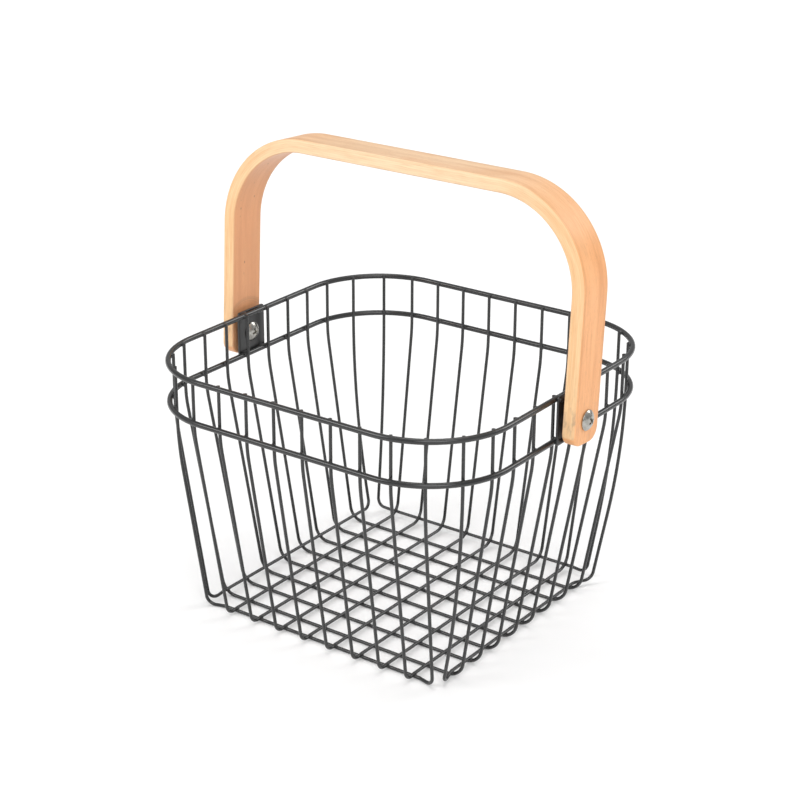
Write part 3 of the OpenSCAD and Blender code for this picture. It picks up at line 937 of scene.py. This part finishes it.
def add_handle(wood):
    """One bent strip with sanded edges, rounded ends and a bore for each pivot."""
    half_w, half_t = STRIP_W / 2, STRIP_T / 2
    EDGE_R = 1.1 * MM
    EDGE_STEPS = 5
    FLAT_STEPS = 10
    SIDE_STEPS = 4

    # (inset from the outline, height through the strip) from one face over the sanded edges
    # to the other
    ring = []
    for i in range(EDGE_STEPS + 1):
        a = math.pi / 2 * i / EDGE_STEPS
        ring.append((EDGE_R * (1 - math.sin(a)), half_t - EDGE_R * (1 - math.cos(a))))
    for i in range(1, SIDE_STEPS):
        ring.append((0.0, (half_t - EDGE_R) * (1 - 2 * i / SIDE_STEPS)))
    ring += [(inset, -t) for inset, t in ring[: EDGE_STEPS + 1][::-1]]
    n = len(ring)

    turns = list(np.linspace(0, math.pi / 2, 13))[:-1]
    length = STRIP_HALF - STRIP_END_R
    middle = np.linspace(-length, length, 2 * int(length / (2.6 * MM)) + 1)
    stations = [(-1, r) for r in turns] + [(0, s) for s in middle] + [(1, r) for r in turns[::-1]]

    points, grid = [], []
    for end, where in stations:
        placed = []
        for w_side, inset, t in [(1, *c) for c in ring] + [(-1, *c) for c in ring[::-1]]:
            if end == 0:
                s, w = where, half_w - inset
            else:
                rho = STRIP_END_R - inset
                s = end * (length + rho * math.cos(where))
                w = half_w - STRIP_END_R + rho * math.sin(where)
            placed.append(np.array((s, w_side * w, t)))
        # The flat faces between the two edges: first the inner one, then the outer one
        shares = np.arange(1, FLAT_STEPS) / FLAT_STEPS
        inner = [placed[n - 1] + (placed[n] - placed[n - 1]) * f for f in shares]
        outer = [placed[-1] + (placed[0] - placed[-1]) * f for f in shares]
        loop = placed[:n] + inner + placed[n:] + outer
        grid.append(range(len(points), len(points) + len(loop)))
        for s, w, t in loop:
            (x, rise), normal = strip_station(s)
            points.append((x + normal[0] * t, w, rise + normal[1] * t))

    faces = []
    for a, b in zip(grid, grid[1:]):
        for i in range(len(a)):
            j = (i + 1) % len(a)
            faces.append((a[i], a[j], b[j], b[i]))
    for row, order in ((grid[0], 1), (grid[-1], -1)):
        right = list(row[:n])
        left = list(row[n + FLAT_STEPS - 1 : 2 * n + FLAT_STEPS - 1][::-1])
        for i in range(n - 1):
            faces.append((right[i], right[i + 1], left[i + 1], left[i])[::order])
        faces.append(tuple([left[0], *row[2 * n + FLAT_STEPS - 1 :], right[0]][::order]))
        faces.append(tuple([right[n - 1], *row[n : n + FLAT_STEPS - 1], left[n - 1]][::order]))

    piece = add_piece("bent_handle", points, faces, wood, "handle", ["handle"])
    bore_r = BARREL_R + RUN_FIT
    for side in (-1, 1):
        drill = lathe([(0, 0), (0, bore_r), (2 * STRIP_T, bore_r), (2 * STRIP_T, 0)], 64)
        drill_points = [(x + side * LEG_X - STRIP_T, y, z) for x, y, z in drill[0]]
        cut_away(piece, drill_points, drill[1])

    mesh = piece.data
    upright = np.empty(3 * len(mesh.vertices), np.float32)
    mesh.vertices.foreach_get("co", upright)
    upright = upright.reshape(-1, 3).astype(float)
    layer = mesh.attributes.new("strip", "FLOAT_VECTOR", "POINT")
    places = np.array([strip_place(*p) for p in upright], np.float32)
    layer.data.foreach_set("vector", places.ravel())
    lean = Matrix.Translation(PIVOT) @ Matrix.Rotation(-HANDLE_LEAN, 4, "X")
    mesh.transform(lean)


# ---- Studio ----

# Name, azimuth, elevation and spread in degrees, and power
SUNS = (
    ("overhead", -150, 80, 34, 0.75),
    ("fill", 44, 34, 40, 1.1),
    ("left_box", -38, 36, 26, 0.85),
    ("back_box", 150, 32, 26, 0.65),
)
FLOOR_HALF = 12.0


def soft_sun(name, azimuth, elevation, spread, power):
    data = bpy.data.lights.new(name, "SUN")
    data.angle = math.radians(spread)
    data.energy = power
    light = bpy.data.objects.new(name, data)
    source = toward(math.radians(azimuth), math.radians(elevation))
    light.rotation_mode = "QUATERNION"
    light.rotation_quaternion = (-source).to_track_quat("-Z", "Y")
    bpy.context.scene.collection.objects.link(light)


def make_studio():
    scene = bpy.context.scene
    scene.view_settings.view_transform = "Standard"
    world = bpy.data.worlds.new("studio")
    world.use_nodes = True
    nodes, links = world.node_tree.nodes, world.node_tree.links
    background = nodes["Background"]
    where = nodes.new("ShaderNodeTexCoord")
    parts = nodes.new("ShaderNodeSeparateXYZ")
    height = nodes.new("ShaderNodeMapRange")
    height.interpolation_type = "SMOOTHSTEP"
    height.inputs["From Min"].default_value = 0.1
    height.inputs["From Max"].default_value = 0.95
    height.inputs["To Min"].default_value = 0.45
    height.inputs["To Max"].default_value = 0.62
    links.new(where.outputs["Generated"], parts.inputs[0])
    links.new(parts.outputs["Z"], height.inputs["Value"])
    background.inputs["Color"].default_value = rgb(1, 1, 1)
    links.new(height.outputs["Result"], background.inputs["Strength"])
    scene.world = world

    for sun in SUNS:
        soft_sun(*sun)

    mesh = bpy.data.meshes.new("floor")
    half = FLOOR_HALF
    corners = [(-half, -half, 0), (half, -half, 0), (half, half, 0), (-half, half, 0)]
    mesh.from_pydata(corners, [], [(0, 1, 2, 3)])
    mesh.materials.append(floor_paint())
    floor = bpy.data.objects.new("floor", mesh)
    floor.location.z = cad_box[0][2]
    scene.collection.objects.link(floor)


# ---- The scene ----

make_camera()
COAT_LIGHT = rgb(0.021, 0.0215, 0.022)
coat = powder_coat("powder_coated_wire", rgb(0.013, 0.0135, 0.014), COAT_LIGHT, 0.24)
plate_coat = powder_coat("powder_coated_plate", rgb(0.014, 0.0145, 0.015), COAT_LIGHT, 0.34)
materials = {
    "powder_coated_wire": coat,
    "powder_coated_plate": plate_coat,
    "bent_birch": bent_birch(),
    "zinc_washer": zinc("zinc_washer", 0.42, 0.4),
    "zinc_fastener": zinc("zinc_fastener", 0.24, 0.3),
}
for sub_part in frame["record"]["subparts"]:
    node = frame["nodes"][sub_part["node"]]
    node.material_slots[0].material = materials[sub_part["material_slot"]]

add_welds(coat)
add_brackets(plate_coat)
add_bracket_welds(plate_coat)
add_washers(materials["zinc_washer"])
add_fasteners(materials["zinc_fastener"])
add_handle(materials["bent_birch"])
make_studio()
